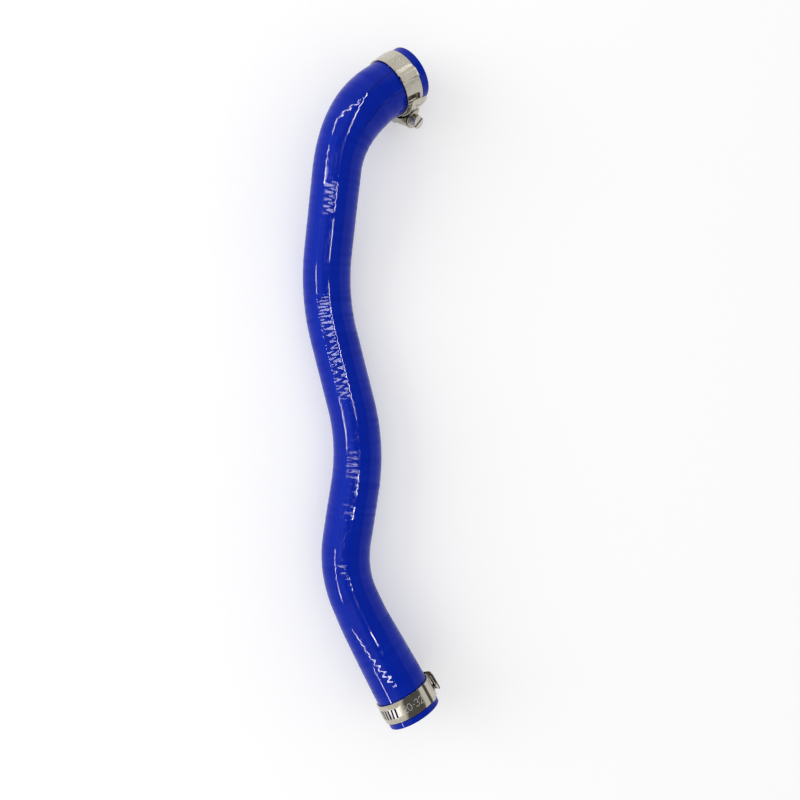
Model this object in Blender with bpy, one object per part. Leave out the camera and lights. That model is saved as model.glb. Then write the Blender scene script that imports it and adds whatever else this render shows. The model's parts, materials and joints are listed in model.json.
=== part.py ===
"""Moulded silicone breather hose with a worm-drive clamp round each end.

Units are metres and +Z is up. The hose lies as it comes to rest on a flat surface: on the screw
housings of its two clamps and on the outside of the bend in its middle. Its long way is +Y. The
origin is under the middle of the bounding box, on the surface.

The hose is worked out in the plan of its mould, in which the long lower part is level and only the
upper end leaves the plane, and the finished pieces are then rolled and pitched into place.
"""

import math

import bmesh
import bpy
import numpy as np
from mathutils import Matrix, Vector

# Centreline of the mould: both end-face centres, and the corners where straight legs would meet
ROUTE_CORNERS = (
    (0.0049, 0.1646, 0.0040),
    (-0.0280, 0.1374, 0.0190),
    (-0.0390, 0.0534, 0.0000),
    (-0.0196, -0.0230, 0.0000),
    (-0.0295, -0.0870, 0.0000),
    (-0.0179, -0.1127, 0.0000),
    (0.0074, -0.1596, 0.0000),
)
# Radius of the centreline at each corner between the two ends
BEND_RADII = (0.050, 0.100, 0.105, 0.055, 0.150)

# Rubber tube
END_DIAMETER = 0.0279
MIDDLE_DIAMETER = 0.0242
SWELL_DIAMETER = 0.0250
SWELL_REACH = 0.055
WALL = 0.0042
END_EDGE_ROUND = 0.0004
UPPER_SLEEVE_LENGTH = 0.028
UPPER_TAPER_LENGTH = 0.036
LOWER_SLEEVE_LENGTH = 0.004
LOWER_TAPER_LENGTH = 0.075
TUBE_SIDES = 24
OUTER_RING_SPACING = 0.0052
BORE_RING_SPACING = 0.0090

# Clearance between pieces that touch on the real hose
CLEARANCE = 0.0003

# Clamp places: bare rubber past the band, and how far round from the top the housing sits
UPPER_RUBBER_PAST_BAND = 0.0050
LOWER_RUBBER_PAST_BAND = 0.0036
UPPER_HOUSING_CLOCK = math.radians(138.0)
LOWER_HOUSING_CLOCK = math.radians(179.0)

# Clamp band, a slotted steel strip
BAND_WIDTH = 0.0100
BAND_THICKNESS = 0.0005
SLOT_LENGTH = 0.0052
SLOT_WIDTH = 0.0011
SLOT_PITCH = 0.0024
SLOT_COUNT = 25
SLOT_SLANT = math.radians(10.0)
TAIL_LENGTH_PAST_HOUSING = 0.0149
TAIL_STAND_OFF = 0.0022
TAIL_PLAIN_END = 0.0016
TAIL_CORNER = 0.0014
BAND_START_ANGLE = math.radians(111.0)
BAND_STEP_ANGLE = math.radians(13.0)
COLUMN_ANGLE = math.radians(6.0)

# Saddle, a curved base plate that carries the housing and reaches on as a tongue under the band
SADDLE_THICKNESS = 0.0005
SADDLE_LAP = 0.0032

# Screw housing, a pressed cover standing on the saddle
HOUSING_LENGTH = 0.0120
HOUSING_WALL = 0.0009
HOUSING_END_WALL = 0.0011
HOUSING_DOME_SIDES = 12
SEAT_SIDES = 96

# Worm screw; the widths of its thread at foot and crest are shares of one turn's pitch
WORM_DIAMETER = 0.0060
WORM_CORE_DIAMETER = 0.0044
THREAD_FOOT_WIDTH = 0.6
THREAD_CREST_WIDTH = 0.2
THREAD_RUN_OUT = 0.0006
NECK_DIAMETER = 0.0040
COLLAR_DIAMETER = 0.0070
COLLAR_LENGTH = 0.0008
HEX_ACROSS_FLATS = 0.0060
HEX_LENGTH = 0.0045
HEX_CHAMFER = 0.0005
DRIVER_SLOT_WIDTH = 0.0011
DRIVER_SLOT_DEPTH = 0.0015
DRIVER_SLOT_TURN = math.radians(20.0)
SCREW_SIDES = 24
RINGS_PER_THREAD = 6

# How the finished hose lies: rolled about its long way, then pitched end to end
LAY_ROLL = math.radians(-7.51)
LAY_PITCH = math.radians(-1.97)

# Sizes that follow from the ones above
CLAMP_BORE_RADIUS = END_DIAMETER / 2 + CLEARANCE
LAP_RISE = SADDLE_THICKNESS + CLEARANCE
BAND_LAP_RADIUS = CLAMP_BORE_RADIUS + LAP_RISE + BAND_THICKNESS
SCREW_RADIUS_FROM_HOSE = BAND_LAP_RADIUS + CLEARANCE + WORM_DIAMETER / 2
TUNNEL_RADIUS = WORM_DIAMETER / 2 + CLEARANCE
HOUSING_HALF_WIDTH = BAND_WIDTH / 2 + CLEARANCE + HOUSING_WALL
HOUSING_HALF_ANGLE = math.atan2(HOUSING_LENGTH / 2, BAND_LAP_RADIUS)
WORM_LENGTH = HOUSING_LENGTH - 2 * HOUSING_END_WALL - 2 * CLEARANCE


def steel_material(name, colour, roughness):
    """Plain stainless steel."""
    material = bpy.data.materials.new(name)
    material.use_nodes = True
    shader = material.node_tree.nodes["Principled BSDF"]
    shader.inputs["Base Color"].default_value = (*colour, 1.0)
    shader.inputs["Metallic"].default_value = 1.0
    shader.inputs["Roughness"].default_value = roughness
    return material


def rubber_material():
    """Glossy blue silicone."""
    material = bpy.data.materials.new("blue_silicone")
    material.use_nodes = True
    shader = material.node_tree.nodes["Principled BSDF"]
    shader.inputs["Base Color"].default_value = (0.004, 0.022, 0.42, 1.0)
    shader.inputs["Metallic"].default_value = 0.0
    shader.inputs["Roughness"].default_value = 0.25
    return material


def add_object(name, points, faces, material, matrix):
    """Put a closed mesh into the scene, smooth but for its sharp edges."""
    mesh = bpy.data.meshes.new(name)
    mesh.from_pydata([tuple(point) for point in points], [], [tuple(face) for face in faces])
    work = bmesh.new()
    work.from_mesh(mesh)
    bmesh.ops.recalc_face_normals(work, faces=work.faces)
    work.to_mesh(mesh)
    work.free()
    mesh.shade_smooth()
    mesh.set_sharp_from_angle(angle=math.radians(32.0))
    piece = bpy.data.objects.new(name, mesh)
    piece.matrix_world = matrix
    if material is not None:
        mesh.materials.append(material)
    bpy.context.scene.collection.objects.link(piece)
    return piece


def cut(piece, cutter):
    """Subtract a cutter from a piece, and keep the cutter out of the model."""
    cutter.hide_render = True
    cutter.display_type = "WIRE"
    boolean = piece.modifiers.new("cut_" + cutter.name, "BOOLEAN")
    boolean.operation = "DIFFERENCE"
    boolean.solver = "EXACT"
    boolean.object = cutter


def smooth_step(amount):
    """Ease from 0 to 1 with level ends."""
    amount = np.clip(amount, 0.0, 1.0)
    return amount * amount * (3.0 - 2.0 * amount)


class Route:
    """Centreline of straight legs joined by round bends, measured by length from the upper end."""

    def __init__(self, corners, radii):
        corners = [Vector(corner) for corner in corners]
        self.pieces = []
        start = corners[0]
        for index, radius in enumerate(radii, start=1):
            corner = corners[index]
            arriving = (corner - corners[index - 1]).normalized()
            leaving = (corners[index + 1] - corner).normalized()
            turn = arriving.angle(leaving)
            reach = radius * math.tan(turn / 2)
            bend_start = corner - arriving * reach
            self.pieces.append(("leg", (bend_start - start).length, start, arriving, None, 0.0))
            inward = (leaving - arriving * arriving.dot(leaving)).normalized()
            self.pieces.append(("bend", radius * turn, bend_start, arriving, inward, radius))
            start = corner + leaving * reach
        leaving = (corners[-1] - corners[-2]).normalized()
        self.pieces.append(("leg", (corners[-1] - start).length, start, leaving, None, 0.0))
        self.length = sum(piece[1] for piece in self.pieces)

    def at(self, distance):
        """Point and direction at a distance from the upper end."""
        for piece in self.pieces[:-1]:
            if distance <= piece[1]:
                break
            distance -= piece[1]
        else:
            piece = self.pieces[-1]
        kind, _, start, heading, inward, radius = piece
        if kind == "leg":
            return start + heading * distance, heading
        angle = distance / radius
        centre = start + inward * radius
        point = centre - inward * radius * math.cos(angle) + heading * radius * math.sin(angle)
        return point, heading * math.cos(angle) + inward * math.sin(angle)

    def frame(self, distance):
        """Axes across and along the hose: side, upward, and along to the lower end."""
        point, along = self.at(distance)
        side = along.cross(Vector((0.0, 0.0, 1.0))).normalized()
        return point, side, side.cross(along), along

    def middle_of_leg(self, number):
        """Distance to the middle of a straight leg, counted from 0 at the upper end."""
        before = sum(piece[1] for piece in self.pieces[:2 * number])
        return before + self.pieces[2 * number][1] / 2


ROUTE = Route(ROUTE_CORNERS, BEND_RADII)


def tube_diameter(distance):
    """Outer diameter: full at both ends, tapered to the middle, a little fuller at one leg."""
    upper = smooth_step((UPPER_SLEEVE_LENGTH + UPPER_TAPER_LENGTH - distance) / UPPER_TAPER_LENGTH)
    from_lower = ROUTE.length - distance
    lower = smooth_step((LOWER_SLEEVE_LENGTH + LOWER_TAPER_LENGTH - from_lower) / LOWER_TAPER_LENGTH)
    swell = smooth_step(1.0 - abs(distance - ROUTE.middle_of_leg(3)) / SWELL_REACH)
    middle = MIDDLE_DIAMETER + (SWELL_DIAMETER - MIDDLE_DIAMETER) * swell
    return middle + (END_DIAMETER - middle) * max(upper, lower)


def ring(distance, radius):
    """Round section of the tube, as an array of points."""
    centre, side, upward, along = (np.array(part) for part in ROUTE.frame(distance))
    angles = np.arange(TUBE_SIDES) * math.tau / TUBE_SIDES
    return centre + radius * (np.outer(np.cos(angles), side) + np.outer(np.sin(angles), upward))


def build_hose(material):
    """One skin that runs down the outside, round the lower rim and back up the bore."""
    outer_stops = np.linspace(END_EDGE_ROUND, ROUTE.length - END_EDGE_ROUND,
                              round(ROUTE.length / OUTER_RING_SPACING))
    bore_stops = np.linspace(ROUTE.length, 0.0, round(ROUTE.length / BORE_RING_SPACING))
    end_radius = END_DIAMETER / 2 - END_EDGE_ROUND
    rings = [ring(0.0, end_radius)]
    rings += [ring(stop, tube_diameter(stop) / 2) for stop in outer_stops]
    rings += [ring(ROUTE.length, end_radius)]
    rings += [ring(stop, tube_diameter(stop) / 2 - WALL) for stop in bore_stops]
    points = np.concatenate(rings)
    count = len(rings)
    faces = []
    for row in range(count):
        following = (row + 1) % count
        for column in range(TUBE_SIDES):
            beside = (column + 1) % TUBE_SIDES
            faces.append((row * TUBE_SIDES + column, row * TUBE_SIDES + beside,
                          following * TUBE_SIDES + beside, following * TUBE_SIDES + column))
    return add_object("hose", points, faces, material, Matrix.Identity(4))


def sheet_solid(inner, outer, filled):
    """Closed sheet from two grids of points and a table of which cells hold metal."""
    columns, rows = filled.shape
    stride = rows + 1
    offset = (columns + 1) * stride
    faces = []
    for column in range(columns):
        for row in range(rows):
            if not filled[column, row]:
                continue
            low = column * stride + row
            corners = (low, low + stride, low + stride + 1, low + 1)
            faces.append(corners)
            faces.append(tuple(corner + offset for corner in reversed(corners)))
            neighbours = ((column, row - 1), (column + 1, row), (column, row + 1), (column - 1, row))
            for edge, (near_column, near_row) in enumerate(neighbours):
                inside = 0 <= near_column < columns and 0 <= near_row < rows
                if inside and filled[near_column, near_row]:
                    continue
                first, second = corners[edge], corners[(edge + 1) % 4]
                faces.append((second, first, first + offset, second + offset))
    points = np.concatenate((inner.reshape(-1, 3), outer.reshape(-1, 3)))
    used = sorted({corner for face in faces for corner in face})
    places = {old: new for new, old in enumerate(used)}
    return points[used], [tuple(places[corner] for corner in face) for face in faces]


def wrap(angles, radii, across):
    """Points round the clamp's axis, +Z along the hose and angle 0 at the housing."""
    return np.stack((radii * np.cos(angles), radii * np.sin(angles), across), axis=-1)


def tail_end_angle():
    """Angle of the band's free end, one turn past the housing."""
    return math.tau + HOUSING_HALF_ANGLE + TAIL_LENGTH_PAST_HOUSING / BAND_LAP_RADIUS


def band_radius(angle):
    """Inner radius of the strip: up on the saddle at both ends, down on the rubber between."""
    saddle_end = BAND_START_ANGLE + SADDLE_LAP / CLAMP_BORE_RADIUS
    off_tongue = smooth_step((angle - saddle_end) / BAND_STEP_ANGLE)
    on_saddle = smooth_step((angle - (math.tau - saddle_half_angle() - BAND_STEP_ANGLE)) / BAND_STEP_ANGLE)
    tail_start = math.tau + HOUSING_HALF_ANGLE
    tail = smooth_step((angle - tail_start) / (tail_end_angle() - tail_start))
    return CLAMP_BORE_RADIUS + LAP_RISE * np.maximum(1.0 - off_tongue, on_saddle) + TAIL_STAND_OFF * tail


def saddle_half_angle():
    """The saddle reaches a little past both ends of the housing."""
    return HOUSING_HALF_ANGLE + SADDLE_LAP / 2 / CLAMP_BORE_RADIUS


def build_band(name, material, matrix):
    """Strip that starts on the saddle's tongue, goes round, and leaves as a slotted tail."""
    pitch_angle = SLOT_PITCH / BAND_LAP_RADIUS
    slot_angle = SLOT_WIDTH / BAND_LAP_RADIUS
    end = tail_end_angle()
    last_slot = end - TAIL_PLAIN_END / BAND_LAP_RADIUS
    first_slot = last_slot - SLOT_COUNT * pitch_angle
    plain = np.linspace(BAND_START_ANGLE, first_slot - pitch_angle / 2,
                        math.ceil((first_slot - BAND_START_ANGLE) / COLUMN_ANGLE))
    slots = first_slot + np.arange(SLOT_COUNT) * pitch_angle
    tip = end - TAIL_CORNER / BAND_LAP_RADIUS * (1.0 - np.sin(np.linspace(0.0, math.pi / 2, 5)))
    edges = np.concatenate((plain, np.stack((slots, slots + slot_angle), axis=1).ravel(), tip))
    rows = np.array((-BAND_WIDTH / 2, -SLOT_LENGTH / 2, SLOT_LENGTH / 2, BAND_WIDTH / 2))
    filled = np.ones((len(edges) - 1, 3), dtype=bool)
    filled[len(plain):len(plain) + 2 * SLOT_COUNT:2, 1] = False
    slanted = (edges == edges[0]) | (edges > slots[0] - slot_angle / 2)
    angles = edges[:, None] + np.outer(slanted, rows) * math.tan(SLOT_SLANT) / BAND_LAP_RADIUS
    from_tip = np.clip((end - edges) * BAND_LAP_RADIUS / TAIL_CORNER, 0.0, 1.0)
    rounded = TAIL_CORNER * (1.0 - np.sqrt(1.0 - (1.0 - from_tip) ** 2))
    across = np.tile(rows, (len(edges), 1))
    across[:, 0] += rounded
    across[:, 3] -= rounded
    inner = wrap(angles, band_radius(angles), across)
    outer = wrap(angles, band_radius(angles) + BAND_THICKNESS, across)
    points, faces = sheet_solid(inner, outer, filled)
    return add_object(name, points, faces, material, matrix)


def build_saddle(name, material, matrix):
    """Curved plate, wide under the housing and as narrow as the band along its tongue."""
    wide_end = HOUSING_HALF_ANGLE + CLEARANCE / CLAMP_BORE_RADIUS
    tongue_end = BAND_START_ANGLE + SADDLE_LAP / CLAMP_BORE_RADIUS
    neck = SADDLE_LAP / 4 / CLAMP_BORE_RADIUS
    under = np.linspace(-wide_end, wide_end, 9)
    tongue = np.linspace(wide_end + neck, tongue_end, 1 + math.ceil((tongue_end - wide_end) / COLUMN_ANGLE))
    angles = np.concatenate(((-saddle_half_angle(), -wide_end - neck / 2), under, tongue))
    wide = np.abs(angles) <= wide_end
    half_widths = np.where(wide, HOUSING_HALF_WIDTH, BAND_WIDTH / 2)
    across = np.outer(half_widths, (-1.0, 1.0))
    spread = np.repeat(angles[:, None], 2, axis=1)
    inner = wrap(spread, np.full(across.shape, CLAMP_BORE_RADIUS), across)
    outer = wrap(spread, np.full(across.shape, CLAMP_BORE_RADIUS + SADDLE_THICKNESS), across)
    points, faces = sheet_solid(inner, outer, np.ones((len(angles) - 1, 1), dtype=bool))
    return add_object(name, points, faces, material, matrix)


def extrude_profile(profile, low, high):
    """Closed prism of a flat outline, given as (X, Z) pairs, along Y."""
    count = len(profile)
    points = [(x, low, z) for x, z in profile] + [(x, high, z) for x, z in profile]
    faces = [tuple(range(count)), tuple(reversed(range(count, 2 * count)))]
    for index in range(count):
        following = (index + 1) % count
        faces.append((index, index + count, following + count, following))
    return points, faces


def circle(radius, sides, centre=(0.0, 0.0)):
    """Round outline about a point."""
    angles = np.arange(sides) * math.tau / sides
    return [(centre[0] + radius * math.cos(a), centre[1] + radius * math.sin(a)) for a in angles]


def build_housing(name, material, matrix):
    """Domed cover with a tunnel for the worm, a neck hole in each end and two legs."""
    dome_radius = TUNNEL_RADIUS + HOUSING_WALL
    shoulder = BAND_LAP_RADIUS + CLEARANCE + HOUSING_WALL
    dome = [(SCREW_RADIUS_FROM_HOSE + dome_radius * math.cos(a), dome_radius * math.sin(a))
            for a in np.linspace(-math.pi / 2, math.pi / 2, HOUSING_DOME_SIDES + 1)]
    deep = CLAMP_BORE_RADIUS / 2
    outline = [(deep, -HOUSING_HALF_WIDTH), (shoulder, -HOUSING_HALF_WIDTH)]
    outline += dome
    outline += [(shoulder, HOUSING_HALF_WIDTH), (deep, HOUSING_HALF_WIDTH)]
    half = HOUSING_LENGTH / 2
    housing = add_object(name, *extrude_profile(outline, -half, half), material, matrix)

    foot_radius = CLAMP_BORE_RADIUS + SADDLE_THICKNESS + CLEARANCE
    passage_radius = BAND_LAP_RADIUS + CLEARANCE
    passage_half_width = BAND_WIDTH / 2 + CLEARANCE
    for part, radius, half_width in (("foot", foot_radius, 2 * HOUSING_HALF_WIDTH),
                                     ("passage", passage_radius, passage_half_width)):
        points, faces = extrude_profile(circle(radius, SEAT_SIDES), -half_width, half_width)
        points = [(x, z, y) for x, y, z in points]
        cut(housing, add_object(name + "_" + part + "_cutter", points, faces, None, matrix))

    centre = (SCREW_RADIUS_FROM_HOSE, 0.0)
    tunnel_half = half - HOUSING_END_WALL
    neck_radius = NECK_DIAMETER / 2 + CLEARANCE
    for part, radius, reach in (("tunnel", TUNNEL_RADIUS, tunnel_half), ("neck", neck_radius, HOUSING_LENGTH)):
        points, faces = extrude_profile(circle(radius, SCREW_SIDES, centre), -reach, reach)
        cut(housing, add_object(name + "_" + part + "_cutter", points, faces, None, matrix))
    return housing


def hexagon_radius(angles):
    """Distance from the centre to the side of a hexagon, at each angle."""
    from_flat = (angles + math.pi / 6) % (math.pi / 3) - math.pi / 6
    return HEX_ACROSS_FLATS / 2 / np.cos(from_flat)


def build_screw(name, material, matrix):
    """Worm between two necks, then a collar and a hexagon head with a driver slot."""
    angles = np.arange(SCREW_SIDES) * math.tau / SCREW_SIDES
    flat = np.ones(SCREW_SIDES)
    neck_end = HOUSING_LENGTH / 2 + CLEARANCE
    worm_half = WORM_LENGTH / 2
    collar_end = neck_end + COLLAR_LENGTH
    head_end = collar_end + HEX_LENGTH
    core = WORM_CORE_DIAMETER / 2
    depth = (WORM_DIAMETER - WORM_CORE_DIAMETER) / 2
    steps = round(WORM_LENGTH / SLOT_PITCH * RINGS_PER_THREAD)
    stops = np.linspace(-worm_half, worm_half, steps + 1)
    hexagon = hexagon_radius(angles)

    rings = [(-neck_end, 0.0 * flat), (-neck_end, NECK_DIAMETER / 2 * flat), (-worm_half, NECK_DIAMETER / 2 * flat)]
    for stop in stops:
        from_crest = np.abs((stop / SLOT_PITCH + angles / math.tau) % 1.0 - 0.5)
        crest = np.clip((THREAD_FOOT_WIDTH / 2 - from_crest) / (THREAD_FOOT_WIDTH - THREAD_CREST_WIDTH) * 2,
                        0.0, 1.0)
        run_out = np.clip((worm_half - abs(stop)) / THREAD_RUN_OUT, 0.0, 1.0)
        rings.append((stop, core + depth * crest * run_out))
    rings += [(worm_half, NECK_DIAMETER / 2 * flat), (neck_end, NECK_DIAMETER / 2 * flat)]
    rings += [(neck_end, COLLAR_DIAMETER / 2 * flat), (collar_end, COLLAR_DIAMETER / 2 * flat)]
    rings += [(collar_end, hexagon), (head_end - HEX_CHAMFER, hexagon)]
    rings += [(head_end, np.minimum(hexagon, HEX_ACROSS_FLATS / 2) - HEX_CHAMFER / 2), (head_end, 0.0 * flat)]

    points = np.concatenate([
        np.stack((radii * np.cos(angles), np.full(SCREW_SIDES, stop), radii * np.sin(angles)), axis=1)
        for stop, radii in rings])
    faces = []
    for row in range(len(rings) - 1):
        for column in range(SCREW_SIDES):
            beside = (column + 1) % SCREW_SIDES
            faces.append((row * SCREW_SIDES + column, (row + 1) * SCREW_SIDES + column,
                          (row + 1) * SCREW_SIDES + beside, row * SCREW_SIDES + beside))
    on_axis = matrix @ Matrix.Translation((SCREW_RADIUS_FROM_HOSE, 0.0, 0.0))
    screw = add_object(name, points, faces, material, on_axis)
    work = bmesh.new()
    work.from_mesh(screw.data)
    bmesh.ops.remove_doubles(work, verts=work.verts, dist=0.000001)
    bmesh.ops.triangulate(work, faces=work.faces)
    bmesh.ops.recalc_face_normals(work, faces=work.faces)
    work.to_mesh(screw.data)
    work.free()

    half_width = DRIVER_SLOT_WIDTH / 2
    slot = [(-half_width, -COLLAR_DIAMETER), (half_width, -COLLAR_DIAMETER),
            (half_width, COLLAR_DIAMETER), (-half_width, COLLAR_DIAMETER)]
    points, faces = extrude_profile(slot, head_end - DRIVER_SLOT_DEPTH, head_end + DRIVER_SLOT_DEPTH)
    turned = on_axis @ Matrix.Rotation(DRIVER_SLOT_TURN, 4, "Y")
    cut(screw, add_object(name + "_slot_cutter", points, faces, None, turned))
    return screw


def clamp_matrix(distance, clock):
    """Axes of a clamp: X out through its housing, Y towards its screw head, Z along the hose."""
    centre, side, upward, along = ROUTE.frame(distance)
    outward = upward * math.cos(clock) - side * math.sin(clock)
    headward = along.cross(outward)
    axes = Matrix((outward, headward, along)).transposed().to_4x4()
    axes.translation = centre
    return axes


def build_clamp(prefix, distance, clock, steel):
    """The four pieces of one clamp."""
    matrix = clamp_matrix(distance, clock)
    return [
        build_band(prefix + "_clamp_band", steel["band"], matrix),
        build_saddle(prefix + "_clamp_saddle", steel["saddle"], matrix),
        build_housing(prefix + "_clamp_housing", steel["housing"], matrix),
        build_screw(prefix + "_clamp_screw", steel["screw"], matrix),
    ]


def lay_down():
    """Turn everything into its rest, and stand it on the floor over the origin."""
    turned = Matrix.Rotation(LAY_PITCH, 4, "X") @ Matrix.Rotation(LAY_ROLL, 4, "Y")
    pieces = list(bpy.context.scene.objects)
    for piece in pieces:
        piece.matrix_world = turned @ piece.matrix_world
    bpy.context.view_layer.update()
    solids = [piece for piece in pieces if not piece.hide_render]
    corners = np.array([piece.matrix_world @ vertex.co for piece in solids for vertex in piece.data.vertices])
    low, high = corners.min(axis=0), corners.max(axis=0)
    shift = Vector((-(low[0] + high[0]) / 2, -(low[1] + high[1]) / 2, -low[2]))
    for piece in pieces:
        piece.matrix_world = Matrix.Translation(shift) @ piece.matrix_world
    bpy.context.view_layer.update()


def clear_scene():
    """Start from an empty scene."""
    for old in list(bpy.data.objects):
        bpy.data.objects.remove(old, do_unlink=True)


clear_scene()
STEEL = {
    "band": steel_material("band_steel", (0.56, 0.54, 0.50), 0.22),
    "saddle": steel_material("saddle_steel", (0.54, 0.52, 0.48), 0.28),
    "housing": steel_material("housing_steel", (0.55, 0.54, 0.50), 0.30),
    "screw": steel_material("screw_steel", (0.60, 0.59, 0.56), 0.24),
}
build_hose(rubber_material())
build_clamp("upper", UPPER_RUBBER_PAST_BAND + BAND_WIDTH / 2, UPPER_HOUSING_CLOCK, STEEL)
build_clamp("lower", ROUTE.length - LOWER_RUBBER_PAST_BAND - BAND_WIDTH / 2, LOWER_HOUSING_CLOCK, STEEL)
lay_down()
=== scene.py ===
"""Looks of a moulded silicone breather hose with a worm-drive clamp round each end.

Units are metres. The sections follow the order of assembly: hose, saddles, bands, housings, screws,
and then the studio. Each piece is worked out where the clamp or the mould holds it, and the lie of
the whole is taken from the frame's joints.
"""

import json
import math

import bpy
import numpy as np
from mathutils import Matrix, Vector


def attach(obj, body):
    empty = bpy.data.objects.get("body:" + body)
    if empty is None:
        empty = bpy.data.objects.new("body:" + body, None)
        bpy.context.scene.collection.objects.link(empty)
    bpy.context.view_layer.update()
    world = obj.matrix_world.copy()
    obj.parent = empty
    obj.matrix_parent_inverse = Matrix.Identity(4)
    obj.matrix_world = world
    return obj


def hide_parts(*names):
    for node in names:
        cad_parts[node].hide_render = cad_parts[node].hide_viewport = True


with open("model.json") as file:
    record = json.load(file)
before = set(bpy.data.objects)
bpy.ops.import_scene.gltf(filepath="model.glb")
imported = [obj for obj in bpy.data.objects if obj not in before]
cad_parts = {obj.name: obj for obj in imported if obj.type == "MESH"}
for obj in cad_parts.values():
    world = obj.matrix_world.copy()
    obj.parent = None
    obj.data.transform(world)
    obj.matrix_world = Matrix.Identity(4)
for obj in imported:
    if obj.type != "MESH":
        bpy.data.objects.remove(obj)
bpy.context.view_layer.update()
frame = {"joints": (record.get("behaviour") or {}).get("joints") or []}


# The hose is one moulded tube of silicone rubber, laid up by hand over a bent mandrel and wrapped
# with tape while it cures, which leaves fine ridges across it. Its ends are cut square and show the
# edges of the fabric plies inside the wall.

ROUTE_CORNERS = np.array((
    (0.0049, 0.1646, 0.0040),
    (-0.0280, 0.1374, 0.0190),
    (-0.0390, 0.0534, 0.0000),
    (-0.0196, -0.0230, 0.0000),
    (-0.0295, -0.0870, 0.0000),
    (-0.0179, -0.1127, 0.0000),
    (0.0074, -0.1596, 0.0000),
))
BEND_RADII = (0.050, 0.100, 0.105, 0.055, 0.150)
LAY_ROLL = math.radians(-7.51)
LAY_PITCH = math.radians(-1.97)

END_DIAMETER = 0.0279
MIDDLE_DIAMETER = 0.0242
SWELL_DIAMETER = 0.0250
SWELL_LEG = 3
SWELL_REACH = 0.055
WALL = 0.0042
UPPER_SLEEVE_LENGTH = 0.028
UPPER_TAPER_LENGTH = 0.036
LOWER_SLEEVE_LENGTH = 0.004
LOWER_TAPER_LENGTH = 0.075
RIM_ROUND = 0.0004
RIM_STEPS = 5
FACE_STEPS = 9

SKIN_SIDES = 80
SKIN_RING_SPACING = 0.00034
BORE_RING_SPACING = 0.0030
RIDGE_HEIGHT = 0.000040
RIDGE_WAVES = ((0.0034, 0, 1.0), (0.0031, 8, 0.50), (0.0037, -7, 0.50))
RIDGE_PATCHES = ((0.028, 0.052, 0.5), (0.060, 0.092, 1.0), (0.126, 0.188, 1.0), (0.202, 0.246, 1.0),
                 (0.262, 0.276, 0.8), (0.284, 0.340, 0.14))
PATCH_EDGE = 0.006
RIDGE_WANDER = 1.6
PLAIN_RIDGES = 0.12
FLANK_RIDGES = 0.55
FLANK_LEANS = (0.8, 1.3)
UPPER_SMOOTH_END = (0.017, 0.027)
LOWER_SMOOTH_END = (0.016, 0.022)
LEFT_LANE_EDGE = ((0.055, -17.0), (0.345, -21.0))
RIGHT_LANE_EDGE = ((0.055, 7.5), (0.345, 2.0))
LANE_LIMITS = (math.radians(-31.0), math.radians(15.0))
LANE_SIDE = math.radians(3.0)
FADED_SIDE = math.radians(8.0)
# Leans over which the painted paler sheen on the left flank comes in.
SHEEN_LEANS = (math.radians(3.0), math.radians(9.0))
FADED_LEFT = ((0.0535, 0.0565), (0.0750, 0.1120), (0.1285, 0.1800), (0.2085, 0.2570))
FADED_MIDDLE = ((0.0540, 0.0715), (0.0885, 0.1285), (0.1825, 0.2075), (0.2225, 0.2345), (0.2365, 0.2385),
                (0.2405, 0.2635), (0.2725, 0.2785))
FADED_RIGHT = ((0.0520, 0.0715), (0.0865, 0.0885), (0.1110, 0.1205), (0.1940, 0.2175), (0.2310, 0.2355),
               (0.2435, 0.2700), (0.2795, 0.3005), (0.3100, 0.3300))
FADED_EDGE = 0.0015
# Stretches just beside each band's edges, where the skin is painted dark as the shade under the band's edge.
SHADED_BAND_EDGES = ((0.0148, 0.0155), (0.0044, 0.0050))
BAND_SHADE_EASE = 0.0003
PLY_COUNT = 4
BLUE = (0.0036, 0.0225, 0.400, 1.0)
DEEP_BLUE = (0.0026, 0.0175, 0.350, 1.0)
# Paler, greyer blue of the painted sheen on the dull patches of the left flank.
PAINTED_SHEEN_BLUE = (0.0105, 0.0300, 0.420, 1.0)
# Dark blue of the painted shade beside the bands, of the painted dark reflection lines near the upper end,
# and of a short dark mark.
SHADE_AND_REFLECTION_BLUE = (0.0018, 0.0110, 0.210, 1.0)
PLY_GREY_BLUE = (0.030, 0.060, 0.300, 1.0)
# Painted dark reflection lines: the first two are thin wavy dark lines near the upper end, painted where the
# skin shows the dark edge of a reflection; the third is a short dark mark. Each is (first, last, place,
# slope, wander).
REFLECTION_LINES_AND_MARK = ((0.0128, 0.0330, 0.01760, 0.100, 0.0006), (0.0135, 0.0500, 0.02640, 0.048, 0.0050),
           (0.0758, 0.0762, 0.02450, 6.000, 0.0000))
DARK_LINE_HALF_WIDTH = 0.00017
DARK_LINE_SWAYS = 120.0
SKIN_IOR = 1.22
SKIN_ROUGHNESS = 0.04
FADED_GLOSS = 0.04
THREAD_SIZE = (0.55, 7.0, 1.0)
THREAD_HEIGHT = 0.00004
WRAP_SIZE = (2.4, 60.0, 1.0)
CLOUD_SIZE = (26.0, 26.0, 26.0)


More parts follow.
